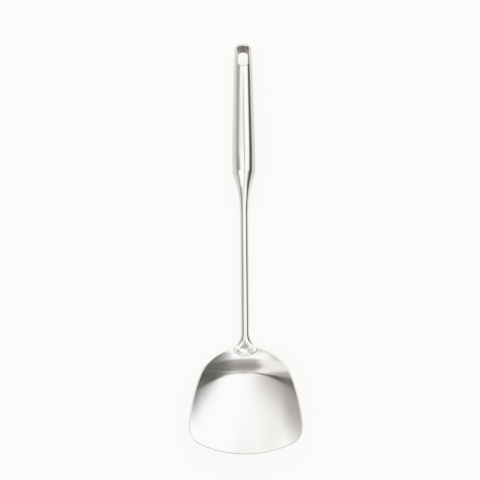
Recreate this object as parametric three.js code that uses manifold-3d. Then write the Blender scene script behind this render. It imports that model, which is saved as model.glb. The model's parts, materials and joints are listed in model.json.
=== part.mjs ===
// Wok turner in stainless steel: a cupped blade on a round bar, under a hollow tapered handle.
// Lengths are in millimetres. Every piece is drawn about the handle's axis, which is Y.
// The heel of the blade is at Y = 0, its tip lies towards -Y and the handle towards +Y.
// The cupped face looks up, +Z. The turner lies on the blade's back and the handle, as on a table.

import * as THREE from "three";
import { mergeVertices } from "three/addons/utils/BufferGeometryUtils.js";
import Module from "manifold-3d";

const wasm = await Module();
wasm.setup();

// Clearance between welded or seated pieces, and the overrun of a cut past the metal
const SEAT_GAP = 0.3;
const CUT_OVERRUN = 5;

// Blade: outline seen along the handle, half of it, from the heel to the tip
const SHEET_THICKNESS = 1.5;
const RIM_ROUND = 0.5;
const BLADE_HALF_WIDTH = 49.3;
const BLADE_LENGTH = 94;
const WIDEST_STATION = 70;
const FLANK_HALF_WIDTH = 37.1;
const FLANK_STATION = 19.8;
const FLANK_ANGLE = THREE.MathUtils.degToRad(32.4);
const TIP_RADIUS = 93.3;
const TIP_ARC_HALF_WIDTH = 39.1;
const HEEL_LEAD = 5;
const FLANK_LEAD_IN = 18.5;
const FLANK_LEAD_OUT = 17.1;
const WIDEST_LEAD_IN = 5.9;
const WIDEST_LEAD_OUT = 7.2;
const TIP_LEAD_IN = 7.2;

// Blade: the cup. From a level heel its floor rises to the tip, and its sides rise to the rim,
// most steeply by the heel. The heel's wall is part of a bowl, widened across, lower at its sides.
const FLOOR_ANGLE = THREE.MathUtils.degToRad(17.5);
const FLOOR_START = 8;
const FLOOR_ROUND = 8;
const SIDE_ANGLE = THREE.MathUtils.degToRad(28.4);
const SIDE_ROUND = 29.3;
const SIDE_STATION = 60;
const SIDE_TAPER_SHARE = 0.8;
const HEEL_RISE = 12;
const HEEL_SIDE_LOSS_SHARE = 0.96;
const BOWL_STATION = 38.8;
const BOWL_FLOOR_RADIUS = 12.4;
const BOWL_NARROW_SHARE = 0.4;

// Bar and its forged foot
const BAR_RADIUS = 3.7;
const FOOT_HALF_WIDTH = 10;
const FOOT_WIDEST = 4;
const FOOT_REACH = 9.4;
const FOOT_FLARE_START = 12.4;
const FLARE_KNEE_HALF_WIDTH = 9;
const FLARE_KNEE = 1.2;
const FLARE_NECK = 1.9;
const FOOT_TOP = 2.9;
const FOOT_THICKNESS = 2.4;
const FOOT_EDGE_THICKNESS = 0.6;
const FLANK_RISE_FROM = 4;
const FLANK_RISE_TO = 1.5;
const FLANK_POWER = 4;
const TOE_POWER = 24;
const DIMPLE_HALF_WIDTH = 5.4;
const DIMPLE_CENTRE = 3.6;
const DIMPLE_TO_TIP = 3.2;
const DIMPLE_TO_BAR = 5.4;
const DIMPLE_POINT_POWER = 1.35;
const DIMPLE_DEPTH = 1.4;

// Ferrule, the hollow-sided cone between the bar and the handle
const SHOULDER_STATION = 162.5;
const FERRULE_REACH = 43.5;
const FERRULE_WAIST_RADIUS = 7.4;
const FERRULE_WAIST_DEPTH = 11;
const FERRULE_NECK_DEPTH = 18;
const FERRULE_SHARE = 0.7;
const SPIGOT_LENGTH = 8;
const SPIGOT_WALL = 1.6;
const TANG_IN_HANDLE = 18;

// Handle tube, its end cap and the sleeve of the hanging slot
const TUBE_LENGTH = 129.2;
const TUBE_WALL = 0.8;
const SHOULDER_RADIUS = 10.8;
const SWELL_RADIUS = 11.1;
const SWELL_STATION = 22;
const NOSE_RADIUS = 8.95;
const NOSE_TO_END = 22.2;
const END_RADIUS = 8.1;
const TAPER_TO_END = 8.2;
const END_ROUND = 5;
const CAP_DEPTH = 2;
const SLOT_WIDTH = 9.6;
const SLOT_LENGTH = 20.7;
const SLOT_TO_END = 3.9;
const SLEEVE_WALL = 0.9;
const SLEEVE_PROUD = 0.25;

// Steel: its colour and how matt the blade and the rest are
const STEEL_COLOUR = 0xd6d4cf;
const BLADE_ROUGHNESS = 0.3;
const HANDLE_ROUGHNESS = 0.25;

// Facets, and how often the search for the resting tilt halves its range
const BLADE_HALF_STEPS = 36;
const BLADE_RINGS = 15;
const BAR_SIDES = 32;
const FLARE_STEPS = 18;
const PAD_STEPS = 12;
const EVEN_SHARE = 0.6;
const ROUND_SIDES = 48;
const CURVE_STEPS = 12;
const TILT_STEPS = 40;

const steel = (roughness) =>
  new THREE.MeshStandardMaterial({ color: STEEL_COLOUR, metalness: 1, roughness });

const smooth = (value, from, to) => THREE.MathUtils.smoothstep(value, from, to);

// A closed body from rings of equal count, closed by a fan to a point at each end.
function loft(rings, startPoint, endPoint) {
  const count = rings[0].length;
  const points = [startPoint, ...rings.flat(), endPoint];
  const last = points.length - 1;
  const at = (ring, side) => 1 + ring * count + (side % count);
  const index = [];
  for (let side = 0; side < count; side++) {
    index.push(0, at(0, side), at(0, side + 1));
    index.push(last, at(rings.length - 1, side + 1), at(rings.length - 1, side));
    for (let ring = 0; ring + 1 < rings.length; ring++) {
      index.push(at(ring, side), at(ring + 1, side), at(ring + 1, side + 1));
      index.push(at(ring, side), at(ring + 1, side + 1), at(ring, side + 1));
    }
  }
  return new THREE.BufferGeometry().setFromPoints(points).setIndex(index);
}

function solidOf(geometry) {
  const bare = geometry.clone();
  bare.deleteAttribute("normal");
  bare.deleteAttribute("uv");
  const merged = mergeVertices(bare);
  return new wasm.Manifold(
    new wasm.Mesh({
      numProp: 3,
      vertProperties: merged.attributes.position.array,
      triVerts: new Uint32Array(merged.index.array),
    }),
  );
}

function geometryOf(solid) {
  const mesh = solid.getMesh();
  const geometry = new THREE.BufferGeometry();
  geometry.setAttribute("position", new THREE.BufferAttribute(mesh.vertProperties, 3));
  geometry.setIndex(new THREE.BufferAttribute(mesh.triVerts, 1));
  return geometry;
}

function named(name, geometry, roughness) {
  const mesh = new THREE.Mesh(geometry, steel(roughness));
  mesh.name = name;
  return mesh;
}

// Half of the blade's outline: x is the half width, y the distance from the heel.
function bladeHalfOutline() {
  const flankIn = new THREE.Vector2(Math.sin(FLANK_ANGLE), Math.cos(FLANK_ANGLE));
  const tipCentre = BLADE_LENGTH - TIP_RADIUS;
  const tipAngle = Math.asin(TIP_ARC_HALF_WIDTH / TIP_RADIUS);
  const tipStart = new THREE.Vector2(Math.sin(tipAngle), Math.cos(tipAngle))
    .multiplyScalar(TIP_RADIUS)
    .add(new THREE.Vector2(0, tipCentre));
  return new THREE.Path()
    .moveTo(0, 0)
    .bezierCurveTo(
      HEEL_LEAD, 0,
      FLANK_HALF_WIDTH - FLANK_LEAD_IN * flankIn.x, FLANK_STATION - FLANK_LEAD_IN * flankIn.y,
      FLANK_HALF_WIDTH, FLANK_STATION,
    )
    .bezierCurveTo(
      FLANK_HALF_WIDTH + FLANK_LEAD_OUT * flankIn.x, FLANK_STATION + FLANK_LEAD_OUT * flankIn.y,
      BLADE_HALF_WIDTH, WIDEST_STATION - WIDEST_LEAD_IN,
      BLADE_HALF_WIDTH, WIDEST_STATION,
    )
    .bezierCurveTo(
      BLADE_HALF_WIDTH, WIDEST_STATION + WIDEST_LEAD_OUT,
      tipStart.x + TIP_LEAD_IN * Math.cos(tipAngle), tipStart.y - TIP_LEAD_IN * Math.sin(tipAngle),
      tipStart.x, tipStart.y,
    )
    .absarc(0, tipCentre, TIP_RADIUS, Math.PI / 2 - tipAngle, Math.PI / 2, false)
    .getSpacedPoints(BLADE_HALF_STEPS);
}

// The cup's rise at a place on the blade: its floor, its sides and the heel's wall.
function cupHeight(across, fromHeel) {
  const ahead = fromHeel - FLOOR_START;
  const floor = (Math.tan(FLOOR_ANGLE) * (ahead + Math.hypot(ahead, FLOOR_ROUND))) / 2;
  const taper = 1 + SIDE_TAPER_SHARE * (1 - fromHeel / SIDE_STATION);
  const sides = Math.tan(SIDE_ANGLE) * (Math.hypot(across, SIDE_ROUND) - SIDE_ROUND) * taper;
  const side = BOWL_NARROW_SHARE * across;
  const out = Math.hypot(side, Math.max(BOWL_STATION - fromHeel, 0));
  const spread = out > 0 ? side / out : 0;
  const down = (BOWL_STATION - out) / (BOWL_STATION - BOWL_FLOOR_RADIUS);
  const t = THREE.MathUtils.clamp(down, 0, 1);
  const wall = HEEL_RISE * (1 - t * t * t * (4 - 3 * t)) * (1 - HEEL_SIDE_LOSS_SHARE * spread ** 2);
  return floor + sides + wall;
}

// Height of the blade's cupped face. At the heel it lies under the foot.
function faceHeight(across, fromHeel) {
  const heel = FOOT_TOP - FOOT_THICKNESS - SEAT_GAP;
  return heel + cupHeight(across, fromHeel) - cupHeight(0, 0);
}

function facePoint(across, fromHeel) {
  return new THREE.Vector3(across, -fromHeel, faceHeight(across, fromHeel));
}

function faceNormal(across, fromHeel) {
  const reach = RIM_ROUND / 2;
  const alongX = facePoint(across + reach, fromHeel).sub(facePoint(across - reach, fromHeel));
  const alongY = facePoint(across, fromHeel - reach).sub(facePoint(across, fromHeel + reach));
  return alongX.cross(alongY).normalize();
}

function blade() {
  const right = bladeHalfOutline();
  const left = right.map((p) => new THREE.Vector2(-p.x, p.y));
  const outline = [...left, ...right.slice(1, -1).reverse()];
  const centre = new THREE.Vector2(0, BLADE_LENGTH / 2);
  const sheetPoint = (p, depth) =>
    facePoint(p.x, p.y).addScaledVector(faceNormal(p.x, p.y), -depth);
  const ringAt = (share, depth) =>
    outline.map((p) => {
      const spoke = p.clone().sub(centre);
      const inset = spoke.clone().setLength(spoke.length() - RIM_ROUND).multiplyScalar(share);
      return sheetPoint(inset.add(centre), depth);
    });
  const edge = outline.map((p) => sheetPoint(p, SHEET_THICKNESS / 2));
  const shares = Array.from({ length: BLADE_RINGS }, (_, i) => (i + 1) / BLADE_RINGS);
  const face = shares.map((share) => ringAt(share, 0));
  const back = shares.map((share) => ringAt(share, SHEET_THICKNESS)).reverse();
  const rings = [...face, edge, ...back];
  const body = loft(rings, sheetPoint(centre, 0), sheetPoint(centre, SHEET_THICKNESS));
  return named("blade", body, BLADE_ROUGHNESS);
}

// Half width of the foot and its flare: x is the half width, y the place along the handle's axis.
function footHalfOutline() {
  const flare = new THREE.CubicBezierCurve(
    new THREE.Vector2(FOOT_HALF_WIDTH, -FOOT_WIDEST),
    new THREE.Vector2(FLARE_KNEE_HALF_WIDTH, FLARE_KNEE),
    new THREE.Vector2(BAR_RADIUS, FLARE_NECK),
    new THREE.Vector2(BAR_RADIUS, FOOT_FLARE_START),
  );
  const pad = new THREE.EllipseCurve(
    0, -FOOT_WIDEST, FOOT_HALF_WIDTH, FOOT_REACH - FOOT_WIDEST, -Math.PI / 2, 0, false,
  );
  return [...pad.getPoints(PAD_STEPS).slice(1, -1), ...flare.getPoints(FLARE_STEPS)];
}

// How deep the dimple is at a place on the foot: an egg, pointed and longer towards the bar.
function dimpleDepth(across, along) {
  const off = along + DIMPLE_CENTRE;
  const reach = off > 0 ? DIMPLE_TO_BAR : DIMPLE_TO_TIP;
  const power = off > 0 ? DIMPLE_POINT_POWER : 2;
  const out = Math.abs(across / DIMPLE_HALF_WIDTH) ** power + Math.abs(off / reach) ** power;
  return out < 1 ? DIMPLE_DEPTH * (1 - out ** (2 / power)) : 0;
}

// How far out each point of a section lies, from -1 to 1: as on a circle, or more evenly where
// the section is flat. The first half of the points is the top.
function sectionShares(flat) {
  return Array.from({ length: BAR_SIDES }, (_, side) => {
    const turn = (2 * side) / BAR_SIDES;
    const even = turn <= 1 ? 1 - 2 * turn : 2 * turn - 3;
    return THREE.MathUtils.lerp(Math.cos(Math.PI * turn), even, EVEN_SHARE * flat);
  });
}

// One section of the bar or its foot. The bar is round. The foot has a level top with rounded
// flanks, and its underside follows the blade.
function footSection(halfWidth, along) {
  const lerp = THREE.MathUtils.lerp;
  const flat = 1 - smooth(along, 0, FOOT_FLARE_START);
  const fromHeel = Math.max(-along, 0);
  const toe = Math.max(-along - FOOT_WIDEST, 0) / (FOOT_REACH - FOOT_WIDEST);
  const full = lerp(2 * BAR_RADIUS, FOOT_THICKNESS, flat);
  const thickness = lerp(full, FOOT_EDGE_THICKNESS, toe ** TOE_POWER);
  const seat = lerp(-BAR_RADIUS, faceHeight(0, fromHeel) + SEAT_GAP, flat);
  const edge = faceHeight(halfWidth, fromHeel) + SEAT_GAP + FOOT_EDGE_THICKNESS;
  const middle = edge * (1 - smooth(along, -FLANK_RISE_TO, FLANK_RISE_FROM));
  const bulge = (share) =>
    Math.max(1 - Math.abs(share) ** lerp(2, FLANK_POWER, flat ** 2), 0) ** (1 / (2 - flat));
  const under = (share) => Math.max(1 - share * share, 0) ** (1 / (2 + 2 * flat));
  return sectionShares(flat).map((share, side) => {
    const across = halfWidth * share;
    const low = lerp(seat, faceHeight(across, fromHeel) + SEAT_GAP, flat);
    const top = lerp(middle, seat + thickness, bulge(share)) - dimpleDepth(across, along);
    const bottom = lerp(middle, low, under(share));
    return new THREE.Vector3(across, along, 2 * side < BAR_SIDES ? top : bottom);
  });
}

// The cone's side, from the shoulder down to the bar: x is the radius, y the place on the axis.
function coneCurve() {
  return new THREE.CubicBezierCurve(
    new THREE.Vector2(SHOULDER_RADIUS, SHOULDER_STATION),
    new THREE.Vector2(FERRULE_WAIST_RADIUS, SHOULDER_STATION - FERRULE_WAIST_DEPTH),
    new THREE.Vector2(BAR_RADIUS, SHOULDER_STATION - FERRULE_NECK_DEPTH),
    new THREE.Vector2(BAR_RADIUS, SHOULDER_STATION - FERRULE_REACH),
  );
}

// Points on the cone's side between two shares of its way down.
function conePoints(from, to) {
  const curve = coneCurve();
  return Array.from({ length: CURVE_STEPS + 1 }, (_, step) =>
    curve.getPoint(THREE.MathUtils.lerp(from, to, step / CURVE_STEPS)),
  );
}

const circle = (radius, along) =>
  Array.from({ length: BAR_SIDES }, (_, side) => {
    const angle = (2 * Math.PI * side) / BAR_SIDES;
    return new THREE.Vector3(radius * Math.cos(angle), along, radius * Math.sin(angle));
  });

function shank() {
  const foot = footHalfOutline().map((p) => footSection(p.x, p.y));
  const swell = conePoints(1, FERRULE_SHARE);
  const seat = swell[swell.length - 1].y - SEAT_GAP;
  const tangEnd = SHOULDER_STATION + TANG_IN_HANDLE;
  const rings = [
    ...foot,
    ...swell.map((p) => circle(p.x, p.y - SEAT_GAP)),
    circle(BAR_RADIUS, seat),
    circle(BAR_RADIUS, tangEnd),
  ];
  const toe = new THREE.Vector3(
    0,
    -FOOT_REACH,
    faceHeight(0, FOOT_REACH) + SEAT_GAP + FOOT_EDGE_THICKNESS / 2,
  );
  return named("shank", loft(rings, toe, new THREE.Vector3(0, tangEnd, 0)), HANDLE_ROUGHNESS);
}

// A body of revolution about the handle's axis from a closed profile of radius and place.
function revolve(profile, sides) {
  return new THREE.LatheGeometry([...profile, profile[0]], sides);
}

function ferrule() {
  const outside = conePoints(FERRULE_SHARE, 0);
  const lowEnd = outside[0].y;
  const bore = BAR_RADIUS + SEAT_GAP;
  const spigot = SHOULDER_RADIUS - TUBE_WALL - SEAT_GAP;
  const top = SHOULDER_STATION + SPIGOT_LENGTH;
  const point = (radius, along) => new THREE.Vector2(radius, along);
  const profile = [
    point(bore, lowEnd),
    ...outside,
    point(spigot, SHOULDER_STATION),
    point(spigot, top),
    point(spigot - SPIGOT_WALL, top),
    point(spigot - SPIGOT_WALL, SHOULDER_STATION),
    point(bore, SHOULDER_STATION),
  ];
  return named("ferrule", revolve(profile, ROUND_SIDES), HANDLE_ROUGHNESS);
}

// The handle's outer side, from the shoulder to the middle of its end: radius and place on the axis.
function handleOutline(proud = 0) {
  const at = (radius, station) => new THREE.Vector2(radius + proud, SHOULDER_STATION + station);
  const side = new THREE.SplineCurve([
    at(SHOULDER_RADIUS, 0),
    at(SWELL_RADIUS, SWELL_STATION),
    at((SWELL_RADIUS + NOSE_RADIUS) / 2, (SWELL_STATION + TUBE_LENGTH - NOSE_TO_END) / 2),
    at(NOSE_RADIUS, TUBE_LENGTH - NOSE_TO_END),
    at(END_RADIUS, TUBE_LENGTH - TAPER_TO_END),
    at(END_RADIUS, TUBE_LENGTH - END_ROUND),
  ]);
  const round = new THREE.EllipseCurve(
    END_RADIUS - END_ROUND, SHOULDER_STATION + TUBE_LENGTH - END_ROUND,
    END_ROUND + proud, END_ROUND + proud, 0, Math.PI / 2, false,
  );
  return [...side.getPoints(CURVE_STEPS), ...round.getPoints(CURVE_STEPS).slice(1)];
}

const capJoint = SHOULDER_STATION + TUBE_LENGTH - CAP_DEPTH;

function tubeWall() {
  const outer = handleOutline().filter((p) => p.y < capJoint - SEAT_GAP / 2);
  const inner = handleOutline(-TUBE_WALL).filter((p) => p.y < capJoint - SEAT_GAP / 2);
  const endOuter = new THREE.Vector2(radiusAt(0, capJoint - SEAT_GAP), capJoint - SEAT_GAP);
  const endInner = new THREE.Vector2(radiusAt(-TUBE_WALL, capJoint - SEAT_GAP), capJoint - SEAT_GAP);
  return [...outer, endOuter, endInner, ...inner.reverse()];
}

// Radius of the handle's rounded end at a place on the axis.
function radiusAt(proud, along) {
  const up = along - (SHOULDER_STATION + TUBE_LENGTH - END_ROUND);
  return END_RADIUS - END_ROUND + Math.sqrt((END_ROUND + proud) ** 2 - up * up);
}

// A prism of a round-ended slot, standing along Z through the handle's nose.
function slotPrism(grow) {
  const half = SLOT_WIDTH / 2;
  const low = SHOULDER_STATION + TUBE_LENGTH - SLOT_TO_END - SLOT_LENGTH + half;
  const high = SHOULDER_STATION + TUBE_LENGTH - SLOT_TO_END - half;
  const shape = new THREE.Shape()
    .absarc(0, high, half + grow, 0, Math.PI, false)
    .absarc(0, low, half + grow, Math.PI, 2 * Math.PI, false);
  const depth = 2 * (SWELL_RADIUS + CUT_OVERRUN);
  const prism = new THREE.ExtrudeGeometry(shape, {
    depth,
    bevelEnabled: false,
    curveSegments: CURVE_STEPS,
  });
  return solidOf(prism.translate(0, 0, -depth / 2));
}

function handleTube() {
  const wall = solidOf(revolve(tubeWall(), ROUND_SIDES));
  const cut = wall.subtract(slotPrism(SLEEVE_WALL + SEAT_GAP));
  return named("handle_tube", geometryOf(cut), HANDLE_ROUGHNESS);
}

function hangSleeve() {
  const envelope = [
    new THREE.Vector2(0, SHOULDER_STATION),
    ...handleOutline(SLEEVE_PROUD),
    new THREE.Vector2(0, SHOULDER_STATION + TUBE_LENGTH + SLEEVE_PROUD),
  ];
  const body = solidOf(new THREE.LatheGeometry(envelope, ROUND_SIDES));
  const ring = slotPrism(SLEEVE_WALL).subtract(slotPrism(0));
  return named("hang_sleeve", geometryOf(ring.intersect(body)), HANDLE_ROUGHNESS);
}

function endCap() {
  const rim = handleOutline().filter((p) => p.y > capJoint);
  const profile = [
    new THREE.Vector2(0, capJoint),
    new THREE.Vector2(radiusAt(0, capJoint), capJoint),
    ...rim,
    new THREE.Vector2(0, SHOULDER_STATION + TUBE_LENGTH),
  ];
  return named("end_cap", new THREE.LatheGeometry(profile, ROUND_SIDES), HANDLE_ROUGHNESS);
}

// Lowest point of some meshes once the turner is tipped about X.
function lowest(meshes, tilt) {
  let low = Infinity;
  for (const { geometry } of meshes) {
    const place = geometry.attributes.position;
    for (let i = 0; i < place.count; i++) {
      low = Math.min(low, place.getY(i) * Math.sin(tilt) + place.getZ(i) * Math.cos(tilt));
    }
  }
  return low;
}

// The tilt at which the blade's back and the handle touch the table together.
function restingTilt(front, rear) {
  let [low, high] = [-Math.PI / 8, Math.PI / 8];
  for (let step = 0; step < TILT_STEPS; step++) {
    const middle = (low + high) / 2;
    if (lowest(rear, middle) < lowest(front, middle)) low = middle;
    else high = middle;
  }
  return low;
}

const bladeMesh = blade();
const tubeMesh = handleTube();
const capMesh = endCap();
const turner = new THREE.Group();
turner.add(bladeMesh, shank(), ferrule(), tubeMesh, hangSleeve(), capMesh);

const tilt = restingTilt([bladeMesh], [tubeMesh, capMesh]);
turner.rotation.x = tilt;
turner.updateMatrixWorld(true);
const box = new THREE.Box3().setFromObject(turner, true);
turner.position.set(0, -(box.min.y + box.max.y) / 2, -box.min.z);

const part = new THREE.Group();
part.add(turner);

export default part;
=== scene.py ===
# Wok turner in satin stainless steel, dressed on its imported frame.
# Shapes are drawn in millimetres about the handle's axis: X across, Y from the heel of the
# blade towards the handle's end, Z up out of the cupped face. A station is a distance along Y,
# counted towards the tip on the blade and towards the handle's end on the rest.

import json
import math

import bpy
import numpy as np
from mathutils import Matrix, Vector


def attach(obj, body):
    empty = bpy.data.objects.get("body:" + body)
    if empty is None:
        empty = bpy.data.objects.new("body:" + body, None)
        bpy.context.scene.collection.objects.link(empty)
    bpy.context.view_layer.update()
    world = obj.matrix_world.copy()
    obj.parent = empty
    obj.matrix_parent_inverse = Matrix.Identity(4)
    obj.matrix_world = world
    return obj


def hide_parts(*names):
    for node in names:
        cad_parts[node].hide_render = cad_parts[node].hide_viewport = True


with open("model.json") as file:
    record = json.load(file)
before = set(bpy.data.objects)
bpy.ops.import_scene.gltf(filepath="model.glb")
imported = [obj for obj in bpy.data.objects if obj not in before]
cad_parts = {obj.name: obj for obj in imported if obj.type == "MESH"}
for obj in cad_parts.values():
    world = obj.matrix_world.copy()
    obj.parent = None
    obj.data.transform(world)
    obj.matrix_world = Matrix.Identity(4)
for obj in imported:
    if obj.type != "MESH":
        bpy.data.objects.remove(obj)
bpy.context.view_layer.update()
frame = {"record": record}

MM = 0.001

# Blade: sheet, rim and outline
SHEET_THICKNESS = 1.5
RIM_ROUND = 0.65
BLADE_HALF_WIDTH = 49.3
BLADE_LENGTH = 94
WIDEST_STATION = 70
FLANK_HALF_WIDTH = 37.1
FLANK_STATION = 19.8
FLANK_ANGLE = math.radians(32.4)
TIP_RADIUS = 93.3
TIP_ARC_HALF_WIDTH = 39.1
HEEL_LEAD = 5
FLANK_LEAD_IN = 18.5
FLANK_LEAD_OUT = 17.1
WIDEST_LEAD_IN = 5.9
WIDEST_LEAD_OUT = 7.2
TIP_LEAD_IN = 7.2

# Blade: the cup
FLOOR_ANGLE = math.radians(17.5)
FLOOR_START = 8
FLOOR_ROUND = 8
SIDE_ANGLE = math.radians(28.4)
SIDE_ROUND = 29.3
SIDE_STATION = 60
SIDE_TAPER_SHARE = 0.8
HEEL_RISE = 12
HEEL_SIDE_LOSS_SHARE = 0.96
BOWL_STATION = 38.8
BOWL_TOP_RADIUS = 49.4
BOWL_FLOOR_RADIUS = 12.4
BOWL_NARROW_SHARE = 0.4
BOWL_WALL_POWER = 5

# Clearances that keep the finer surfaces inside the solids' box
RIM_INSET = 0.16
SHELF_DROP = 0.11
END_CLEAR = 0.002

# Bar and foot
BAR_RADIUS = 3.7
SEAT_GAP = 0.3
FOOT_HALF_WIDTH = 10
FOOT_WIDEST = 4
FOOT_REACH = 9.4
FOOT_FLARE_START = 12.4
FLARE_KNEE_HALF_WIDTH = 9
FLARE_KNEE = 1.2
FLARE_NECK = 1.9
FOOT_TOP = 2.9
FOOT_THICKNESS = 2.4
FOOT_EDGE_THICKNESS = 0.6
FOOT_SINK = 0.4
FLANK_RISE_FROM = 4
FLANK_RISE_TO = 1.5
FLANK_POWER = 4
FLANK_BLEND_POWER = 4
TOE_POWER = 70
TOE_FLANK_POWER = 14
TOE_FLANK_FROM = 1
TOE_FLANK_TO = 5.5
EVEN_SHARE = 0.6

# The foot's dished mark
DIMPLE_HALF_WIDTH = 5.4
DIMPLE_CENTRE = 2.9
DIMPLE_TO_TIP = 3.9
DIMPLE_TO_BAR = 4.7
DIMPLE_TIP_POWER = 2
DIMPLE_POINT_POWER = 1.35
DIMPLE_SLOPE = 0.31
DIMPLE_WALL_SLOPE = 0.5
DIMPLE_ROUND = 0.3

# Ferrule
SHOULDER_STATION = 162.5
FERRULE_REACH = 43.5
FERRULE_WAIST_RADIUS = 7.4
FERRULE_WAIST_DEPTH = 11
FERRULE_NECK_DEPTH = 18
FERRULE_SHARE = 0.7
FERRULE_BORE_RADIUS = BAR_RADIUS / 2
FERRULE_RECESS = 1

# Handle, slot and sleeve
TUBE_LENGTH = 129.2
TUBE_WALL = 0.8
SHOULDER_RADIUS = 10.8
SWELL_RADIUS = 11.05
SWELL_STATION = 22
NOSE_RADIUS = 8.95
NOSE_TO_END = 22.2
END_RADIUS = 8.1
TAPER_TO_END = 8.2
END_ROUND = 5
CAP_DEPTH = 2
SLOT_WIDTH = 9.6
SLOT_LENGTH = 20.7
SLOT_TO_END = 3.9
SLEEVE_WALL = 0.9
SLEEVE_PROUD = 0.25
CUTTER_REACH = 20
HANDLE_END = SHOULDER_STATION + TUBE_LENGTH

# Fineness of the meshes
OUTLINE_STEPS = 400
BLADE_HALF_STEPS = 150
BLADE_RINGS = 60
RIM_STEPS = 8
PAD_STEPS = 60
FLARE_STEPS = 90
BAR_SIDES = 96
BAR_STEPS = 23
CONE_STEPS = 1000
BAR_SWELL_STEPS = 40
FERRULE_STEPS = 80
FERRULE_SIDES = 192
HANDLE_SIDES = 256
HANDLE_STEPS = 30
HANDLE_INSIDE_SKIP = 6
NOSE_STEPS = 39
SLOT_STEPS = 48
SLOT_STRAIGHT_STEPS = 13
LIP_STEPS = 8
SLEEVE_DEPTH_STEPS = 11

# Reaches and tolerances of the normals, and least divisors
BLADE_SLOPE_REACH = 0.02
HANDLE_SLOPE_REACH = 0.05
ON_SIDE = 0.03
FACING_SHARE = 0.8
TINY = 1e-9
LEAST_LEVEL = 1e-4

# Bends past which an edge stays sharp
BAR_SHARP_ANGLE = math.radians(60)
FERRULE_SHARP_ANGLE = math.radians(35)
SLEEVE_SHARP_ANGLE = math.radians(70)

# Steel: tones, gloss, and a grain whose scales are counts in a metre across, along and up
STEEL_COLOUR = (0.70, 0.685, 0.665)
TONE_SPREAD_SHARE = 0.015
TONE_SCALE = 28
TONE_DETAIL = 2
GLOSS_SPREAD_SHARE = 0.15
GRAIN_DETAIL = 3
GRAIN_HEIGHT = 0.002
GRAIN_SHARE = 0.5
EVEN_GRAIN = (900, 900, 900)
DRAWN_GRAIN = (1400, 160, 1400)
BLADE_ROUGHNESS = 0.16
SLOT_ROUGHNESS = 0.14
BAR_ROUGHNESS = 0.11

# Steel: painted shade in the hanging slot and along the cup's fold. An edge goes from no tint to full tint.
# Painted shade in the hanging slot: brown at its far end and darker grey on its right, fading in with depth
FAR_SLOT_SHADE = (0.16, 0.13, 0.095)
FAR_SLOT_SHADE_EDGE = (-0.3, 0.6)
RIGHT_SLOT_SHADE = (0.34, 0.325, 0.31)
RIGHT_SLOT_SHADE_EDGE = (2, 4)
SLOT_DEPTH_EDGE = (1, 1.8)
# Painted shade along the fold between the heel wall and the floor of the cup
FOLD_SHADE_COLOUR = (0.40, 0.385, 0.37)
FOLD_OUT = 2.3
FOLD_HALF_WIDTH = 1.8
FOLD_END_EDGE = (3, 11)

# Floor
FLOOR_REACH = 6000
FLOOR_COLOUR = (0.93, 0.93, 0.93)
FLOOR_GLOW = (0.968, 0.968, 0.948)
FLOOR_GLOW_SHARE = 0.9

# Studio: a big soft light overhead with grey walls to the left and in front and a dark one to the
# right. Places in it are angles from straight up, in degrees, to the right and to the back, and an
# edge goes from the place where a tone starts to the place where it is full.
CEILING = (1.385, 1.41, 1.43)
CEILING_LEFT = (1.25, 1.25, 1.24)
CEILING_LEFT_ASIDE_EDGE = (6, -2)
CEILING_LEFT_BACK_EDGE = (27, 24)
CEILING_LEFT_FRONT_EDGE = (15, 20)

# The ceiling's seam, a dim line between its panels
SEAM = (0.68, 0.68, 0.67)
SEAM_RIGHT = 8
SEAM_SIDE_EDGE = (9, 2)
SEAM_BACK_EDGE = (26.5, 23.5)
SEAM_FRONT_EDGE = (-25, -21)
SEAM_TURN_EDGE = (17, 24)
SEAM_TURN_SHIFT = 6
SEAM_LOW_START_EDGE = (-1, -4)
SEAM_LOW_END_EDGE = (-15, -12)
SEAM_LOW_SHIFT = 11
SEAM_FAINT_SHARE = 0.75
SEAM_FAINT_FRONT_EDGE = (-4, 2)
SEAM_FAINT_BACK_EDGE = (14, 10)

# The wall in front
FRONT_EDGE = (-30, -37)
FRONT_WALL = (0.62, 0.595, 0.585)
FRONT_LOW = (0.43, 0.41, 0.40)
FRONT_LOW_EDGE = (-44, -56)
FRONT_RIGHT = (0.30, 0.29, 0.275)
FRONT_RIGHT_EDGE = (24, 50)
FRONT_BRIGHT = (1.20, 1.20, 1.18)
FRONT_BRIGHT_EDGE = (-24, -44)
FRONT_BRIGHT_TURN_EDGE = (-47, -52)
FRONT_BRIGHT_SHIFT = 14
FRONT_FOOT = (0.24, 0.235, 0.225)
FRONT_FOOT_EDGE = (-60, -70)

# The wall to the left, whose edge bends away behind and in front, and the haze beside it
LEFT_WALL = (0.60, 0.565, 0.54)
LEFT_EDGE = (-35, -55)
LEFT_BEHIND_START = 20
LEFT_BEHIND_UNIT = 10
LEFT_BEHIND_POWER = 2
LEFT_BEHIND_SHIFT = 15
LEFT_BEHIND_END_EDGE = (44, 36)
LEFT_MIDDLE_EDGE = (19, 14)
LEFT_MIDDLE_SHIFT = 9
LEFT_AHEAD_EDGE = (0, -14)
LEFT_AHEAD_SHIFT = 18
LEFT_FOOT = (0.98, 0.97, 0.95)
LEFT_FOOT_EDGE = (-72, -98)
LEFT_SPOT = (0.20, 0.185, 0.165)
LEFT_SPOT_LEFT = 59.5
LEFT_SPOT_BACK = 2
LEFT_SPOT_SQUEEZE_SHARE = 0.4
LEFT_SPOT_EDGE = (10, 3)
LEFT_BRIGHT_EDGE = (-28, -36)
HAZE_SHARE = 0.5
HAZE_ASIDE_EDGE = (-14, -28)
HAZE_FRONT_EDGE = (-17, -9)
HAZE_BACK_EDGE = (12, 6)

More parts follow.
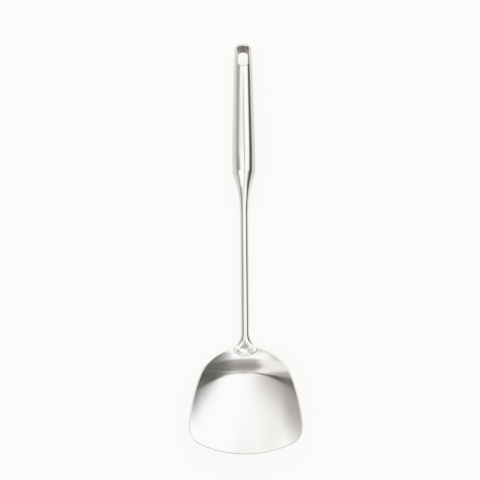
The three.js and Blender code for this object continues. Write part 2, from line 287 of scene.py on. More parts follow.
# The wall to the right, whose edge comes nearer and softer in front
RIGHT_WALL = (0.14, 0.14, 0.13)
RIGHT_PLACE = 45.5
RIGHT_WIDTH = 16
RIGHT_AHEAD_EDGE = (-5, -16)
RIGHT_AHEAD_SHIFT = 19
RIGHT_AHEAD_WIDTH = 20
RIGHT_BESIDE_BACK_EDGE = (13, 10)
RIGHT_BESIDE_FRONT_EDGE = (4, 8)
RIGHT_BESIDE_SHIFT = 6
RIGHT_LOW_EDGE = (-28, -36)
RIGHT_LOW_SHIFT = 9

# Camera, in the frame of the handle, as fitted to the photograph's outline
CAMERA_PLACE = (-4.1, -7.2, 641.5)
CAMERA_LEAN = math.radians(9.3)
CAMERA_ROLL = math.radians(-0.38)
FOCAL_PIXELS = 693
IMAGE_PIXELS = 480
SENSOR_MM = 36
NEAREST_SEEN = 10
FARTHEST_SEEN = 50000

# The handle's axis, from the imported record's mount on the handle's end
mount = frame["record"]["mounts"][0]
ALONG = Vector(mount["axis"]).normalized()
RISE = Vector((0, -ALONG.z, ALONG.y))
HEEL = Vector(mount["pos_m"]) - ALONG * (HANDLE_END + END_CLEAR) * MM
TO_ROW = np.array([[1, 0, 0], list(ALONG), list(RISE)]) * MM


def place(points):
    return np.asarray(points, float) @ TO_ROW + np.array(HEEL)


def turn(directions):
    return np.asarray(directions, float) @ (TO_ROW / MM)


def unit(vectors):
    return vectors / np.maximum(np.linalg.norm(vectors, axis=-1, keepdims=True), TINY)


# Meshes from rings of points

def make_piece(name, points, faces, normals=None, sharp_angle=None):
    """A smooth-shaded mesh in the row frame, with its normals given where they are known exactly."""
    mesh = bpy.data.meshes.new(name)
    mesh.from_pydata(place(points).tolist(), [], [list(map(int, face)) for face in faces])
    mesh.validate()
    mesh.polygons.foreach_set("use_smooth", [True] * len(mesh.polygons))
    if sharp_angle is not None:
        mesh.set_sharp_from_angle(angle=sharp_angle)
    if normals is not None:
        mesh.normals_split_custom_set_from_vertices(turn(normals).tolist())
    piece = bpy.data.objects.new(name, mesh)
    bpy.context.scene.collection.objects.link(piece)
    return piece


def ring_faces(rings, count, first=0):
    faces = []
    for ring in range(rings - 1):
        for side in range(count):
            a = first + ring * count + side
            b = first + ring * count + (side + 1) % count
            faces.append((a, a + count, b + count, b))
    return faces


def loop_faces(rings, count):
    """Faces of a body whose last ring meets its first, such as a tube with a wall."""
    total = rings * count
    return [tuple(corner % total for corner in face) for face in ring_faces(rings + 1, count)]


def capped_faces(rings, count):
    """Faces of a body of rings between a first point and a last one."""
    faces = ring_faces(rings, count, 1)
    last_ring = 1 + (rings - 1) * count
    last = last_ring + count
    for side in range(count):
        following = (side + 1) % count
        faces.append((0, 1 + side, 1 + following))
        faces.append((last, last_ring + following, last_ring + side))
    return faces


def circle(radius, station, sides):
    angle = np.arange(sides) * 2 * math.pi / sides
    return np.stack([radius * np.cos(angle), np.full(sides, station), radius * np.sin(angle)], 1)


def revolve(profile, sides):
    """Points and faces of a closed profile of radius and station, turned about the handle's axis."""
    rings = [circle(radius, station, sides) for radius, station in profile]
    return np.concatenate(rings), loop_faces(len(rings), sides)


# Curves

def bezier(points, steps):
    t = np.linspace(0, 1, steps + 1)[:, None]
    p = [np.array(q, float) for q in points]
    return (1 - t) ** 3 * p[0] + 3 * (1 - t) ** 2 * t * p[1] + 3 * (1 - t) * t * t * p[2] + t ** 3 * p[3]


def catmull(keys, steps):
    """A uniform Catmull-Rom curve through some points, with its ends held."""
    line = []
    last = len(keys) - 1
    for i in range(last):
        start, end = keys[i], keys[i + 1]
        leave = (end - keys[i - 1]) / 2 if i > 0 else (end - start) / 2
        arrive = (keys[i + 2] - start) / 2 if i < last - 1 else (end - start) / 2
        t = np.linspace(0, 1, steps + 1)[:-1, None]
        cubic = 2 * start - 2 * end + leave + arrive
        square = 3 * end - 3 * start - 2 * leave - arrive
        line.append(cubic * t ** 3 + square * t * t + leave * t + start)
    line.append(keys[-1:])
    return np.concatenate(line)


def even_spacing(points, steps):
    run = np.concatenate([[0], np.cumsum(np.linalg.norm(np.diff(points, axis=0), axis=1))])
    at = np.linspace(0, run[-1], steps + 1)
    return np.stack([np.interp(at, run, points[:, k]) for k in range(points.shape[1])], 1)


def smooth_step(value, low, high):
    t = np.clip((value - low) / (high - low), 0, 1)
    return t * t * (3 - 2 * t)


# Blade

def blade_half_outline():
    flank = np.array([math.sin(FLANK_ANGLE), math.cos(FLANK_ANGLE)])
    tip_centre = BLADE_LENGTH - TIP_RADIUS
    tip_angle = math.asin(TIP_ARC_HALF_WIDTH / TIP_RADIUS)
    tip = np.array([math.sin(tip_angle) * TIP_RADIUS, math.cos(tip_angle) * TIP_RADIUS + tip_centre])
    flank_at = np.array([FLANK_HALF_WIDTH, FLANK_STATION])
    widest = np.array([BLADE_HALF_WIDTH, WIDEST_STATION])
    before_tip = tip + TIP_LEAD_IN * np.array([math.cos(tip_angle), -math.sin(tip_angle)])
    heel_part = [(0, 0), (HEEL_LEAD, 0), flank_at - FLANK_LEAD_IN * flank, flank_at]
    flank_part = [flank_at, flank_at + FLANK_LEAD_OUT * flank, widest - (0, WIDEST_LEAD_IN), widest]
    corner_part = [widest, widest + (0, WIDEST_LEAD_OUT), before_tip, tip]
    curves = [bezier(part, OUTLINE_STEPS) for part in (heel_part, flank_part, corner_part)]
    turns = np.linspace(tip_angle, 0, OUTLINE_STEPS)
    arc = np.stack([np.sin(turns) * TIP_RADIUS, np.cos(turns) * TIP_RADIUS + tip_centre], 1)
    line = np.concatenate([curves[0], curves[1][1:], curves[2][1:], arc[1:]])
    return even_spacing(line, BLADE_HALF_STEPS)


def cup_height(across, station):
    """The floor's rise to the tip, the sides' rise to the rim, and the heel's wall, a part of a bowl."""
    ahead = station - FLOOR_START
    floor = math.tan(FLOOR_ANGLE) * (ahead + np.hypot(ahead, FLOOR_ROUND)) / 2
    taper = 1 + SIDE_TAPER_SHARE * (1 - station / SIDE_STATION)
    sides = math.tan(SIDE_ANGLE) * (np.hypot(across, SIDE_ROUND) - SIDE_ROUND) * taper
    side = BOWL_NARROW_SHARE * across
    out = np.hypot(side, np.maximum(BOWL_STATION - station, 0)) + TINY
    down = np.clip((BOWL_TOP_RADIUS - out) / (BOWL_TOP_RADIUS - BOWL_FLOOR_RADIUS), 0, 1)
    drop = down ** BOWL_WALL_POWER * (BOWL_WALL_POWER + 1 - BOWL_WALL_POWER * down)
    return floor + sides + HEEL_RISE * (1 - drop) * (1 - HEEL_SIDE_LOSS_SHARE * (side / out) ** 2)


def face_height(across, station):
    heel = FOOT_TOP - FOOT_THICKNESS - SEAT_GAP - SHELF_DROP
    return heel + cup_height(across, station) - cup_height(0.0, 0.0)


def face_normal(across, station):
    reach = BLADE_SLOPE_REACH
    dx = (face_height(across + reach, station) - face_height(across - reach, station)) / (2 * reach)
    dy = -(face_height(across, station + reach) - face_height(across, station - reach)) / (2 * reach)
    return unit(np.stack([-dx, -dy, np.ones_like(dx)], -1))


def sheet_points(flat, depth):
    """Points of the sheet at a depth under its cupped face, from their places seen from above."""
    across, station = flat[:, 0], flat[:, 1]
    face = np.stack([across, -station, face_height(across, station)], 1)
    return face - face_normal(across, station) * depth


def make_blade():
    """The sheet, as rings from the middle of its face out, round the rim and back under it."""
    half = blade_half_outline()
    outline = np.concatenate([half * (-1, 1), half[1:-1][::-1]])
    count = len(outline)
    centre = np.array([[0, BLADE_LENGTH / 2]])
    spokes = outline - centre
    lengths = np.linalg.norm(spokes, axis=1, keepdims=True)
    shares = np.linspace(0, 1, BLADE_RINGS + 1)[1:]
    points = [sheet_points(centre, 0)]
    normals = [face_normal(*centre.T)]

    def ring(share, inset, depth, lean):
        flat = centre + spokes / lengths * (lengths - inset - RIM_INSET) * share
        up = face_normal(flat[:, 0], flat[:, 1])
        ahead = np.roll(flat, -1, 0) - np.roll(flat, 1, 0)
        out = unit(np.stack([-ahead[:, 1], -ahead[:, 0], np.zeros(count)], 1))
        out *= np.sign((out[:, :2] * spokes * (1, -1)).sum(1, keepdims=True))
        out = unit(out - up * (out * up).sum(1, keepdims=True))
        points.append(sheet_points(flat, depth))
        normals.append(unit(up * math.cos(lean) + out * math.sin(lean)))

    for share in shares:
        ring(share, RIM_ROUND, 0, 0)
    for step in range(1, RIM_STEPS):
        lean = math.pi * step / RIM_STEPS
        ring(1, RIM_ROUND * (1 - math.sin(lean)), SHEET_THICKNESS / 2 * (1 - math.cos(lean)), lean)
    for share in shares[::-1]:
        ring(share, RIM_ROUND, SHEET_THICKNESS, math.pi)
    faces = capped_faces(len(points) - 1, count)
    points.append(sheet_points(centre, SHEET_THICKNESS))
    normals.append(-face_normal(*centre.T))
    return make_piece("blade_sheet", np.concatenate(points), faces, np.concatenate(normals))


# Bar and foot

def foot_half_outline():
    """Half widths and stations from the foot's toe to the place where the bar is round."""
    turns = np.linspace(-math.pi / 2, 0, PAD_STEPS + 1)[1:-1]
    stations = -FOOT_WIDEST + (FOOT_REACH - FOOT_WIDEST) * np.sin(turns)
    pad = np.stack([FOOT_HALF_WIDTH * np.cos(turns), stations], 1)
    flare = bezier([(FOOT_HALF_WIDTH, -FOOT_WIDEST), (FLARE_KNEE_HALF_WIDTH, FLARE_KNEE),
                    (BAR_RADIUS, FLARE_NECK), (BAR_RADIUS, FOOT_FLARE_START)], FLARE_STEPS)
    return np.concatenate([pad, flare])


def dimple_depth(across, station):
    """A mark with sloping sides and a level that rises to the tip, pointed towards the bar."""
    off = station + DIMPLE_CENTRE
    reach = np.where(off > 0, DIMPLE_TO_BAR, DIMPLE_TO_TIP)
    power = np.where(off > 0, DIMPLE_POINT_POWER, DIMPLE_TIP_POWER)
    out = (np.abs(across / DIMPLE_HALF_WIDTH) ** power + np.abs(off / reach) ** power) ** (1 / power)
    wall = DIMPLE_WALL_SLOPE * DIMPLE_TO_BAR * (1 - out)
    plane = DIMPLE_SLOPE * (DIMPLE_TO_BAR - off)
    both = (wall + plane - np.hypot(wall - plane, DIMPLE_ROUND)) / 2
    return np.where(out < 1, np.maximum(both, 0), 0)


def foot_section(half_width, station):
    """One section of the bar or its foot, from a round one to a flat top with rounded flanks."""
    flat = 1 - smooth_step(station, 0, FOOT_FLARE_START)
    toe = max(-station - FOOT_WIDEST, 0) / (FOOT_REACH - FOOT_WIDEST)
    on_blade = max(-station, 0.0)
    thick = 2 * BAR_RADIUS + (FOOT_THICKNESS - 2 * BAR_RADIUS) * flat
    thick = FOOT_EDGE_THICKNESS + (thick - FOOT_EDGE_THICKNESS) * (1 - toe ** TOE_POWER)
    angle = np.arange(BAR_SIDES) * 2 * math.pi / BAR_SIDES
    turned = np.where(angle <= math.pi, angle, angle - math.pi)
    even = np.where(angle <= math.pi, 1, -1) * (1 - 2 * turned / math.pi)
    share = np.cos(angle) + (even - np.cos(angle)) * EVEN_SHARE * flat
    across = half_width * share
    seat = -BAR_RADIUS + (face_height(0.0, on_blade) + SEAT_GAP + BAR_RADIUS) * flat
    edge = face_height(half_width, on_blade) + SEAT_GAP + FOOT_EDGE_THICKNESS
    low = seat + (face_height(across, on_blade) - FOOT_SINK - seat) * flat
    middle = edge * (1 - smooth_step(station, -FLANK_RISE_TO, FLANK_RISE_FROM))
    power = 2 + (FLANK_POWER - 2) * flat ** FLANK_BLEND_POWER
    power += (TOE_FLANK_POWER - power) * smooth_step(-station, TOE_FLANK_FROM, TOE_FLANK_TO)
    bulge = np.maximum(1 - np.abs(share) ** power, 0) ** (1 / (2 - flat))
    under = np.maximum(1 - share ** 2, 0) ** (1 / (2 + 2 * flat))
    top = middle + (seat + thick - middle) * bulge - dimple_depth(across, station)
    bottom = middle + (low - middle) * under
    height = np.where(np.sin(angle) > 0, top, bottom)
    return np.stack([across, np.full(BAR_SIDES, station), height], 1)


def cone_points(start, end, steps):
    """Radii and stations on the ferrule's cone, between two shares of it counted from the shoulder."""
    curve = bezier([(SHOULDER_RADIUS, SHOULDER_STATION),
                    (FERRULE_WAIST_RADIUS, SHOULDER_STATION - FERRULE_WAIST_DEPTH),
                    (BAR_RADIUS, SHOULDER_STATION - FERRULE_NECK_DEPTH),
                    (BAR_RADIUS, SHOULDER_STATION - FERRULE_REACH)], CONE_STEPS)
    pick = np.round(np.linspace(start, end, steps + 1) * CONE_STEPS).astype(int)
    return curve[pick]


def make_shank():
    rings = [foot_section(half_width, station) for half_width, station in foot_half_outline()]
    bar = np.linspace(FOOT_FLARE_START, SHOULDER_STATION - FERRULE_REACH, BAR_STEPS + 1)[1:-1]
    rings += [circle(BAR_RADIUS, station, BAR_SIDES) for station in bar]
    swell = cone_points(1, FERRULE_SHARE, BAR_SWELL_STEPS)
    rings += [circle(radius, station, BAR_SIDES) for radius, station in swell]
    toe_height = face_height(0.0, FOOT_REACH) + SEAT_GAP + FOOT_EDGE_THICKNESS / 2
    points = np.concatenate([[(0, -FOOT_REACH, toe_height)], *rings, [(0, swell[-1][1], 0)]])
    return make_piece("shank_bar", points, capped_faces(len(rings), BAR_SIDES), sharp_angle=BAR_SHARP_ANGLE)


# Ferrule

def make_ferrule():
    inner = SHOULDER_RADIUS - TUBE_WALL
    recess = SHOULDER_STATION - FERRULE_RECESS
    outside = cone_points(FERRULE_SHARE, 0, FERRULE_STEPS)
    profile = [(FERRULE_BORE_RADIUS, outside[0][1]), *outside, (inner, SHOULDER_STATION),
               (inner, recess), (FERRULE_BORE_RADIUS, recess)]
    points, faces = revolve(profile, FERRULE_SIDES)
    return make_piece("ferrule_cone", points, faces, sharp_angle=FERRULE_SHARP_ANGLE)


# Handle and nose cap

def handle_outline():
    """The handle's outer side from the shoulder to its end, as radii and stations."""
    nose = TUBE_LENGTH - NOSE_TO_END
    round_start = TUBE_LENGTH - END_ROUND
    keys = [(SHOULDER_RADIUS, 0), (SWELL_RADIUS, SWELL_STATION),
            ((SWELL_RADIUS + NOSE_RADIUS) / 2, (SWELL_STATION + nose) / 2), (NOSE_RADIUS, nose),
            (END_RADIUS, TUBE_LENGTH - TAPER_TO_END), (END_RADIUS, round_start)]
    turns = np.linspace(0, math.pi / 2, NOSE_STEPS + 1)[1:]
    flat = END_RADIUS - END_ROUND
    end = np.stack([flat + END_ROUND * np.cos(turns), round_start + END_ROUND * np.sin(turns)], 1)
    return np.concatenate([catmull(np.array(keys, float), HANDLE_STEPS), end]) + (0, SHOULDER_STATION)


HANDLE_LINE = handle_outline()


def handle_radius(station):
    return np.interp(station, HANDLE_LINE[:, 1], HANDLE_LINE[:, 0])


def handle_normal(points):
    reach = HANDLE_SLOPE_REACH
    stations = points[:, 1]
    slope = (handle_radius(stations + reach) - handle_radius(stations - reach)) / (2 * reach)
    radius = np.maximum(np.hypot(points[:, 0], points[:, 2]), TINY)
    return unit(np.stack([points[:, 0] / radius, -slope, points[:, 2] / radius], 1))


def set_handle_normals(piece):
    """Exact normals on the turned outside of a piece, and flat ones on its cuts and inside."""
    mesh = piece.data
    mesh.polygons.foreach_set("use_smooth", [True] * len(mesh.polygons))
    corners = np.array([vertex.co for vertex in mesh.vertices]) - np.array(HEEL)
    local = corners @ np.linalg.inv(TO_ROW)
    exact = turn(handle_normal(local))
    on_side = np.abs(np.hypot(local[:, 0], local[:, 2]) - handle_radius(local[:, 1])) < ON_SIDE
    normals = []
    for polygon in mesh.polygons:
        flat = np.array(polygon.normal)
        for corner in polygon.vertices:
            smooth = on_side[corner] and float(exact[corner] @ flat) > FACING_SHARE
            normals.append(exact[corner] if smooth else flat)
    mesh.normals_split_custom_set([tuple(normal) for normal in normals])


def racetrack(grow):
    """The slot's outline, grown by a distance, as places across and along."""
    half = SLOT_WIDTH / 2 + grow
    low = HANDLE_END - SLOT_TO_END - SLOT_LENGTH + SLOT_WIDTH / 2
    high = HANDLE_END - SLOT_TO_END - SLOT_WIDTH / 2
    turns = np.linspace(0, math.pi, SLOT_STEPS + 1)
    top = np.stack([half * np.cos(turns), high + half * np.sin(turns)], 1)
    bottom = np.stack([-half * np.cos(turns), low - half * np.sin(turns)], 1)
    shares = np.linspace(0, 1, SLOT_STRAIGHT_STEPS + 1)[1:-1, None]
    left = top[-1] + (bottom[0] - top[-1]) * shares
    right = bottom[-1] + (top[0] - bottom[-1]) * shares
    return np.concatenate([top, left, bottom, right])


def make_slot_cutter():
    line = racetrack(SLEEVE_WALL)
    count = len(line)
    low = np.column_stack([line, np.full(count, -CUTTER_REACH)])
    high = np.column_stack([line, np.full(count, CUTTER_REACH)])
    faces = [(i, (i + 1) % count, (i + 1) % count + count, i + count) for i in range(count)]
    faces += [tuple(range(count))[::-1], tuple(range(count, 2 * count))]
    return make_piece("slot_cutter", np.concatenate([low, high]), faces)


def make_handle():
    """The hollow tube up to the cap's joint, with the slot cut through both of its sides."""
    joint = HANDLE_END - CAP_DEPTH
    outer = HANDLE_LINE[HANDLE_LINE[:, 1] < joint]
    end_radius = float(handle_radius(joint))
    inner = [(radius - TUBE_WALL, station) for radius, station in outer[::HANDLE_INSIDE_SKIP]]
    profile = [*outer, (end_radius, joint), (end_radius - TUBE_WALL, joint), *inner[::-1]]
    tube = make_piece("handle_shell", *revolve(profile, HANDLE_SIDES))
    cutter = make_slot_cutter()
    cut = tube.modifiers.new("slot", "BOOLEAN")
    cut.operation = "DIFFERENCE"
    cut.solver = "EXACT"
    cut.object = cutter
    bpy.context.view_layer.update()
    made = bpy.data.meshes.new_from_object(tube.evaluated_get(bpy.context.evaluated_depsgraph_get()))
    tube.modifiers.clear()
    tube.data = made
    bpy.data.objects.remove(cutter)
    set_handle_normals(tube)
    return tube


def make_cap():
    joint = HANDLE_END - CAP_DEPTH
    rim = HANDLE_LINE[HANDLE_LINE[:, 1] > joint]
    profile = [(float(handle_radius(joint)), joint), *rim]
    rings = [circle(radius, station, HANDLE_SIDES) for radius, station in profile]
    points = np.concatenate([[(0, joint, 0)], *rings, [(0, HANDLE_END, 0)]])
    cap = make_piece("nose_cap", points, capped_faces(len(rings), HANDLE_SIDES))
    set_handle_normals(cap)
    return cap


# Sleeve

def make_sleeve():
    """The oval sleeve, with a rounded lip that stands a little proud of the handle all round."""
    inside, outside = racetrack(0), racetrack(SLEEVE_WALL)
    middle = (inside + outside) / 2
    half = SLEEVE_WALL / 2
    lip_radius = handle_radius(middle[:, 1]) + SLEEVE_PROUD
    lip_height = np.sqrt(lip_radius ** 2 - middle[:, 0] ** 2) - half
    turns = np.linspace(0, math.pi, LIP_STEPS + 1)
    shares = np.linspace(0, 1, SLEEVE_DEPTH_STEPS + 1)[1:-1]

    def lip(angle, side):
        line = middle + (outside - inside) / 2 * math.cos(angle)
        return np.column_stack([line, side * (lip_height + half * math.sin(angle))])

    rings = [lip(angle, 1) for angle in turns]
    rings += [np.column_stack([inside, lip_height * (1 - 2 * share)]) for share in shares]
    rings += [lip(angle, -1) for angle in turns[::-1]]
    rings += [np.column_stack([outside, lip_height * (2 * share - 1)]) for share in shares]
    faces = [face[::-1] for face in loop_faces(len(rings), len(middle))]
    return make_piece("slot_sleeve", np.concatenate(rings), faces, sharp_angle=SLEEVE_SHARP_ANGLE)


# Nodes of the materials and the studio

class Graph:
    """Adds nodes to a node tree. What a node takes is a number, a colour or another node's output."""

    def __init__(self, owner):
        owner.use_nodes = True
        self.nodes = owner.node_tree.nodes
        self.links = owner.node_tree.links

    def add(self, kind):
        return self.nodes.new("ShaderNode" + kind)

    def feed(self, socket, value):
        if isinstance(value, bpy.types.NodeSocket):
            self.links.new(value, socket)
        elif isinstance(value, tuple) and len(value) < len(socket.default_value):
            socket.default_value = (*value, 1)
        else:
            socket.default_value = value

    def math(self, operation, *values):
        node = self.add("Math")
        node.operation = operation
        for socket, value in zip(node.inputs, values):
            self.feed(socket, value)
        return node.outputs[0]

    def plus(self, a, b):
        return self.math("ADD", a, b)

    def minus(self, a, b):
        return self.math("SUBTRACT", a, b)

    def times(self, value, *others):
        for other in others:
            value = self.math("MULTIPLY", value, other)
        return value

    def length(self, a, b):
        return self.math("SQRT", self.plus(self.times(a, a), self.times(b, b)))

    def split(self, vector):
        node = self.add("SeparateXYZ")
        self.feed(node.inputs[0], vector)
        return node.outputs

    def ramp(self, value, edge):
        """A soft step from 0 at the first place of an edge to 1 at its second."""
        node = self.add("MapRange")
        node.interpolation_type = "SMOOTHSTEP"
        self.feed(node.inputs["Value"], value)
        self.feed(node.inputs["From Min"], edge[0])
        self.feed(node.inputs["From Max"], edge[1])
        return node.outputs["Result"]

    def blend(self, share, below, above):
        node = self.add("Mix")
        node.data_type = "RGBA"
        self.feed(node.inputs[0], share)
        self.feed(node.inputs[6], below)
        self.feed(node.inputs[7], above)
        return node.outputs[2]

    def noise(self, vector, scale, detail):
        node = self.add("TexNoise")
        self.feed(node.inputs["Vector"], vector)
        self.feed(node.inputs["Scale"], scale)
        self.feed(node.inputs["Detail"], detail)
        return node.outputs["Fac"]


# Materials

def make_steel(name, roughness, grain_scales):
    """Satin steel: tone, gloss and a very fine grain vary a little over the surface."""
    material = bpy.data.materials.new(name)
    graph = Graph(material)
    shader = graph.nodes["Principled BSDF"]
    shader.inputs["Metallic"].default_value = 1
    where = graph.add("TexCoord").outputs["Object"]
    stretch = graph.add("Mapping")
    graph.feed(stretch.inputs["Vector"], where)
    graph.feed(stretch.inputs["Scale"], grain_scales)
    grain = graph.noise(stretch.outputs["Vector"], 1, GRAIN_DETAIL)
    dark, light = (tuple(channel * (1 + spread) for channel in STEEL_COLOUR)
                   for spread in (-TONE_SPREAD_SHARE, TONE_SPREAD_SHARE))
    tone = graph.blend(graph.noise(where, TONE_SCALE, TONE_DETAIL), dark, light)
    graph.feed(shader.inputs["Base Color"], tone)
    gloss = graph.add("MapRange")
    graph.feed(gloss.inputs["Value"], grain)
    graph.feed(gloss.inputs["To Min"], roughness * (1 - GLOSS_SPREAD_SHARE))
    graph.feed(gloss.inputs["To Max"], roughness * (1 + GLOSS_SPREAD_SHARE))
    graph.feed(shader.inputs["Roughness"], gloss.outputs["Result"])
    bump = graph.add("Bump")
    graph.feed(bump.inputs["Strength"], GRAIN_SHARE)
    graph.feed(bump.inputs["Distance"], GRAIN_HEIGHT * MM)
    graph.feed(bump.inputs["Height"], grain)
    graph.feed(shader.inputs["Normal"], bump.outputs["Normal"])
    return material


def tint(graph, share, colour):
    """Blends a colour into the steel's own where the share is above zero."""
    socket = graph.nodes["Principled BSDF"].inputs["Base Color"]
    steel = socket.links[0].from_socket
    graph.feed(socket, graph.blend(share, steel, colour))


def paint_slot_shade(material):
    """Paints shade on the hanging slot's wall: a brown painted shade at its far end and a darker painted
    shade on its right.
    """
    graph = Graph(material)
    x, y, z = graph.split(graph.add("TexCoord").outputs["Object"])
    far = float(place([(0, HANDLE_END - SLOT_TO_END - SLOT_WIDTH / 2, 0)])[0][1])
    top = float(place([(0, HANDLE_END - SLOT_TO_END, NOSE_RADIUS)])[0][2])
    inside = graph.ramp(z, [top - depth * MM for depth in SLOT_DEPTH_EDGE])
    at_right = graph.ramp(x, [across * MM for across in RIGHT_SLOT_SHADE_EDGE])
    at_end = graph.ramp(y, [far + past * MM for past in FAR_SLOT_SHADE_EDGE])
    # Painted shade: the slot wall's right side and far end are darkened to stand for shaded reflections
    tint(graph, graph.times(inside, at_right), RIGHT_SLOT_SHADE)
    tint(graph, graph.times(inside, at_end), FAR_SLOT_SHADE)


def paint_fold_shade(material):
    """Paints shade along the fold where the heel wall meets the floor of the cup, darkening the steel there.
    """
    graph = Graph(material)
    x, y, z = graph.split(graph.add("TexCoord").outputs["Object"])
    ahead = graph.minus(y, float(place([(0, -BOWL_STATION, 0)])[0][1]))
    out = graph.length(graph.times(x, BOWL_NARROW_SHARE), ahead)
    fold = BOWL_FLOOR_RADIUS + FOLD_OUT
    inner = graph.ramp(out, ((fold - FOLD_HALF_WIDTH) * MM, fold * MM))
    outer = graph.ramp(out, ((fold + FOLD_HALF_WIDTH) * MM, fold * MM))
    past_ends = graph.ramp(ahead, [station * MM for station in FOLD_END_EDGE])
    # Painted shade: a darker band along the crease, where shade falls
    tint(graph, graph.times(inner, outer, past_ends), FOLD_SHADE_COLOUR)


blade_steel = make_steel("blade_steel", BLADE_ROUGHNESS, EVEN_GRAIN)
bar_steel = make_steel("bar_steel", BAR_ROUGHNESS, DRAWN_GRAIN)
handle_steel = make_steel("handle_steel", BAR_ROUGHNESS, DRAWN_GRAIN)
slot_painted_shade_steel = make_steel("slot_painted_shade_steel", SLOT_ROUGHNESS, EVEN_GRAIN)
# The slot's steel gets painted shade at the slot's far end and on its right
paint_slot_shade(slot_painted_shade_steel)
# The blade's steel gets painted shade along its fold
paint_fold_shade(blade_steel)

# Each piece, with the node that it stands for, its slot in the record and its steel
for make, node_name, slot, material in (
    (make_blade, "blade", "blade_steel", blade_steel),
    (make_shank, "shank", "shank_steel", bar_steel),
    (make_ferrule, "ferrule", "handle_steel", handle_steel),
    (make_handle, "handle_tube", "handle_steel", handle_steel),
    (make_sleeve, "hang_sleeve", "handle_steel", slot_painted_shade_steel),
    (make_cap, "end_cap", "handle_steel", handle_steel),
):
    piece = make()
    piece.data.materials.clear()
    piece.data.materials.append(material)
    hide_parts(node_name)
    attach(piece, "root")


# Floor

def make_floor():
    """A plain pale floor, which camera, glossy and transmission rays see as the pale background."""
    mesh = bpy.data.meshes.new("floor")
    reach = FLOOR_REACH * MM
    corners = [(-reach, -reach, 0), (reach, -reach, 0), (reach, reach, 0), (-reach, reach, 0)]
    mesh.from_pydata(corners, [], [(0, 1, 2, 3)])
    floor = bpy.data.objects.new("floor", mesh)
    bpy.context.scene.collection.objects.link(floor)
    material = bpy.data.materials.new("floor")
    graph = Graph(material)
    graph.nodes.clear()
    lit = graph.add("BsdfDiffuse")
    graph.feed(lit.inputs["Color"], FLOOR_COLOUR)
    glow = graph.add("Emission")
    graph.feed(glow.inputs["Color"], FLOOR_GLOW)
    path = graph.add("LightPath").outputs
    seen = graph.plus(graph.plus(path["Is Camera Ray"], path["Is Glossy Ray"]), path["Is Transmission Ray"])
    mix = graph.add("MixShader")
    graph.feed(mix.inputs["Fac"], graph.times(graph.math("MINIMUM", seen, 1), FLOOR_GLOW_SHARE))
    graph.feed(mix.inputs[1], lit.outputs["BSDF"])
    graph.feed(mix.inputs[2], glow.outputs["Emission"])
    graph.feed(graph.add("OutputMaterial").inputs["Surface"], mix.outputs["Shader"])
    mesh.materials.append(material)


make_floor()


# Studio

def studio_angles(graph):
    """The angles from straight up to a direction, to the right and to the back of the handle."""
    tilt = graph.add("Mapping")
    tilt.vector_type = "VECTOR"
    graph.feed(tilt.inputs["Rotation"], (-math.atan2(ALONG.z, ALONG.y), 0, 0))
    graph.feed(tilt.inputs["Vector"], graph.add("TexCoord").outputs["Generated"])
    x, y, z = graph.split(tilt.outputs["Vector"])
    level = graph.length(x, y)
    from_top = graph.times(graph.math("ARCTAN2", level, z), math.degrees(1))
    per_level = graph.math("DIVIDE", from_top, graph.math("MAXIMUM", level, LEAST_LEVEL))
    return graph.times(x, per_level), graph.times(y, per_level)


def ceiling(graph, right, back):
    at_left = graph.ramp(right, CEILING_LEFT_ASIDE_EDGE)
    within = graph.times(graph.ramp(back, CEILING_LEFT_BACK_EDGE), graph.ramp(back, CEILING_LEFT_FRONT_EDGE))
    tone = graph.blend(graph.times(at_left, within), CEILING, CEILING_LEFT)
    seam = graph.minus(SEAM_RIGHT, graph.times(graph.ramp(back, SEAM_TURN_EDGE), SEAM_TURN_SHIFT))
    low = graph.times(graph.ramp(back, SEAM_LOW_START_EDGE), graph.ramp(back, SEAM_LOW_END_EDGE))
    seam = graph.minus(seam, graph.times(low, SEAM_LOW_SHIFT))
    aside = graph.math("ABSOLUTE", graph.minus(right, seam))
    faint = graph.times(graph.ramp(back, SEAM_FAINT_FRONT_EDGE), graph.ramp(back, SEAM_FAINT_BACK_EDGE))
    strength = graph.minus(1, graph.times(faint, SEAM_FAINT_SHARE))
    share = graph.times(strength, graph.ramp(back, SEAM_BACK_EDGE), graph.ramp(back, SEAM_FRONT_EDGE),
                        graph.ramp(aside, SEAM_SIDE_EDGE))
    return graph.blend(share, tone, SEAM)


def front_wall(graph, right, back):
    tone = graph.blend(graph.ramp(back, FRONT_LOW_EDGE), FRONT_WALL, FRONT_LOW)
    tone = graph.blend(graph.ramp(right, FRONT_RIGHT_EDGE), tone, FRONT_RIGHT)
    turned = graph.times(graph.ramp(back, FRONT_BRIGHT_TURN_EDGE), FRONT_BRIGHT_SHIFT)
    tone = graph.blend(graph.ramp(graph.plus(right, turned), FRONT_BRIGHT_EDGE), tone, FRONT_BRIGHT)
    return graph.blend(graph.ramp(back, FRONT_FOOT_EDGE), tone, FRONT_FOOT)


def left_wall(graph, right, back):
    tone = graph.blend(graph.ramp(right, LEFT_FOOT_EDGE), LEFT_WALL, LEFT_FOOT)
    across = graph.plus(right, LEFT_SPOT_LEFT)
    along = graph.times(graph.minus(back, LEFT_SPOT_BACK), LEFT_SPOT_SQUEEZE_SHARE)
    tone = graph.blend(graph.ramp(graph.length(across, along), LEFT_SPOT_EDGE), tone, LEFT_SPOT)
    return graph.blend(graph.ramp(back, LEFT_BRIGHT_EDGE), tone, FRONT_BRIGHT)


def left_wall_share(graph, right, back):
    past = graph.math("MAXIMUM", graph.minus(back, LEFT_BEHIND_START), 0)
    bend = graph.math("POWER", graph.math("DIVIDE", past, LEFT_BEHIND_UNIT), LEFT_BEHIND_POWER)
    bend = graph.times(bend, graph.ramp(back, LEFT_BEHIND_END_EDGE), LEFT_BEHIND_SHIFT)
    middle = graph.times(graph.ramp(back, LEFT_MIDDLE_EDGE), LEFT_MIDDLE_SHIFT)
    ahead = graph.times(graph.ramp(back, LEFT_AHEAD_EDGE), LEFT_AHEAD_SHIFT)
    return graph.ramp(graph.plus(graph.minus(graph.minus(right, bend), middle), ahead), LEFT_EDGE)


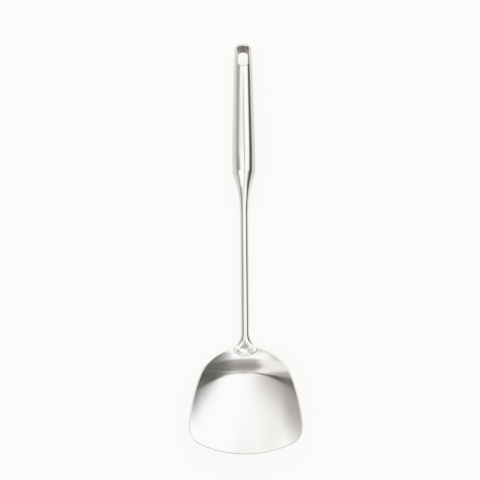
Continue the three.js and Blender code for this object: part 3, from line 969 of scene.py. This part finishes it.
def haze_share(graph, right, back):
    return graph.times(graph.ramp(right, HAZE_ASIDE_EDGE), graph.ramp(back, HAZE_FRONT_EDGE),
                       graph.ramp(back, HAZE_BACK_EDGE), HAZE_SHARE)


def right_wall_share(graph, right, back):
    ahead = graph.ramp(back, RIGHT_AHEAD_EDGE)
    beside = graph.times(graph.ramp(back, RIGHT_BESIDE_BACK_EDGE), graph.ramp(back, RIGHT_BESIDE_FRONT_EDGE))
    low = graph.ramp(back, RIGHT_LOW_EDGE)
    past = graph.minus(right, RIGHT_PLACE)
    past = graph.plus(past, graph.times(ahead, RIGHT_AHEAD_SHIFT))
    past = graph.plus(past, graph.times(beside, RIGHT_BESIDE_SHIFT))
    past = graph.minus(past, graph.times(low, RIGHT_LOW_SHIFT))
    width = graph.plus(graph.times(ahead, RIGHT_AHEAD_WIDTH), RIGHT_WIDTH)
    return graph.ramp(graph.math("DIVIDE", past, width), (0, 1))


def make_studio():
    world = bpy.data.worlds.new("studio")
    bpy.context.scene.world = world
    graph = Graph(world)
    graph.nodes.clear()
    right, back = studio_angles(graph)
    tone = ceiling(graph, right, back)
    tone = graph.blend(graph.ramp(back, FRONT_EDGE), tone, front_wall(graph, right, back))
    tone = graph.blend(haze_share(graph, right, back), tone, LEFT_WALL)
    tone = graph.blend(left_wall_share(graph, right, back), tone, left_wall(graph, right, back))
    tone = graph.blend(right_wall_share(graph, right, back), tone, RIGHT_WALL)
    shine = graph.add("Background")
    graph.feed(shine.inputs["Color"], tone)
    graph.feed(graph.add("OutputWorld").inputs["Surface"], shine.outputs[0])


make_studio()


# Camera

def make_camera():
    forward = np.array([0, math.sin(CAMERA_LEAN), -math.cos(CAMERA_LEAN)])
    level = np.array([1, 0, 0])
    upright = np.array([0, math.cos(CAMERA_LEAN), math.sin(CAMERA_LEAN)])
    right = math.cos(CAMERA_ROLL) * level + math.sin(CAMERA_ROLL) * upright
    up = math.cos(CAMERA_ROLL) * upright - math.sin(CAMERA_ROLL) * level
    data = bpy.data.cameras.new("camera")
    data.sensor_width = SENSOR_MM
    data.lens = FOCAL_PIXELS / IMAGE_PIXELS * SENSOR_MM
    data.clip_start = NEAREST_SEEN * MM
    data.clip_end = FARTHEST_SEEN * MM
    camera = bpy.data.objects.new("camera", data)
    bpy.context.scene.collection.objects.link(camera)
    matrix = Matrix(turn([right, up, -forward]).T.tolist()).to_4x4()
    matrix.translation = Vector(place(CAMERA_PLACE))
    camera.matrix_world = matrix
    bpy.context.scene.camera = camera


make_camera()
bpy.context.scene.view_settings.view_transform = "Standard"
